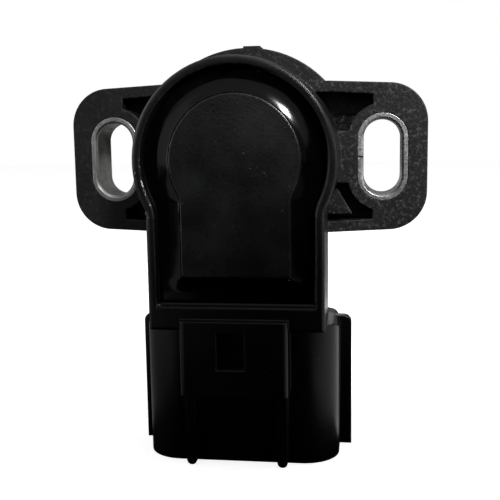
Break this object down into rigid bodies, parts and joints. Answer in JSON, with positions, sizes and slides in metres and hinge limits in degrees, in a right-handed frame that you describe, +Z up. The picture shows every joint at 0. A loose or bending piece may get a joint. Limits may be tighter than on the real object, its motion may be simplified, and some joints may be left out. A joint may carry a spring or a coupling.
{
  "type": "throttle position sensor",
  "caption": "Rotary sensor with a sprung drive hub behind, a two-eared flange with lined mounting slots and a downward connector socket.",
  "frame": {"origin": "on the rotor's axis, on the flange face that bears on the throttle body", "axes": "+X to the right ear seen from the cover side, +Y out of the mounting face into the throttle body, +Z up, away from the connector's mouth"},
  "size_m": [0.0512, 0.0253, 0.0574],
  "materials": {
    "housing_black": "moulded, fine spark-eroded grain",
    "cover_black": "matt sheet, faintly speckled",
    "resin_black": "cast, glossy",
    "liner_steel": "rolled and tumbled",
    "board_green": "glass-epoxy board with solder mask",
    "carbon_ink": "printed",
    "silver_ink": "printed, matt",
    "terminal_tin": "tinned",
    "solder": "bright",
    "rotor_nylon": "natural, moulded",
    "wiper_bronze": "stamped sheet",
    "spring_steel": "drawn wire",
    "washer_acetal": "turned",
    "seal_rubber": "moulded"
  },
  "bodies": {
    "body": {"housing": "housing_black", "bushing_left": "liner_steel", "bushing_right": "liner_steel", "cover_plate": "cover_black", "potting": "resin_black", "element_board": "board_green", "resistor_track": "carbon_ink", "collector_track": "carbon_ink", "conductor_traces": "silver_ink", "pin_supply": "terminal_tin", "pin_signal": "terminal_tin", "pin_ground": "terminal_tin", "solder_joints": "solder", "return_spring": "spring_steel", "thrust_washer": "washer_acetal", "shaft_seal": "seal_rubber", "o_ring": "seal_rubber"},
    "rotor": {"rotor": "rotor_nylon", "wiper": "wiper_bronze"}
  },
  "joints": [
    {"name": "rotor_turn", "type": "hinge", "parent": "body", "child": "rotor", "pos_m": [0, 0, 0], "axis": [0, -1, 0], "range_deg": [0, 100], "stiffness_Nm_per_rad": 0.004, "springref_deg": -28.65, "deforming": ["return_spring"]}
  ]
}
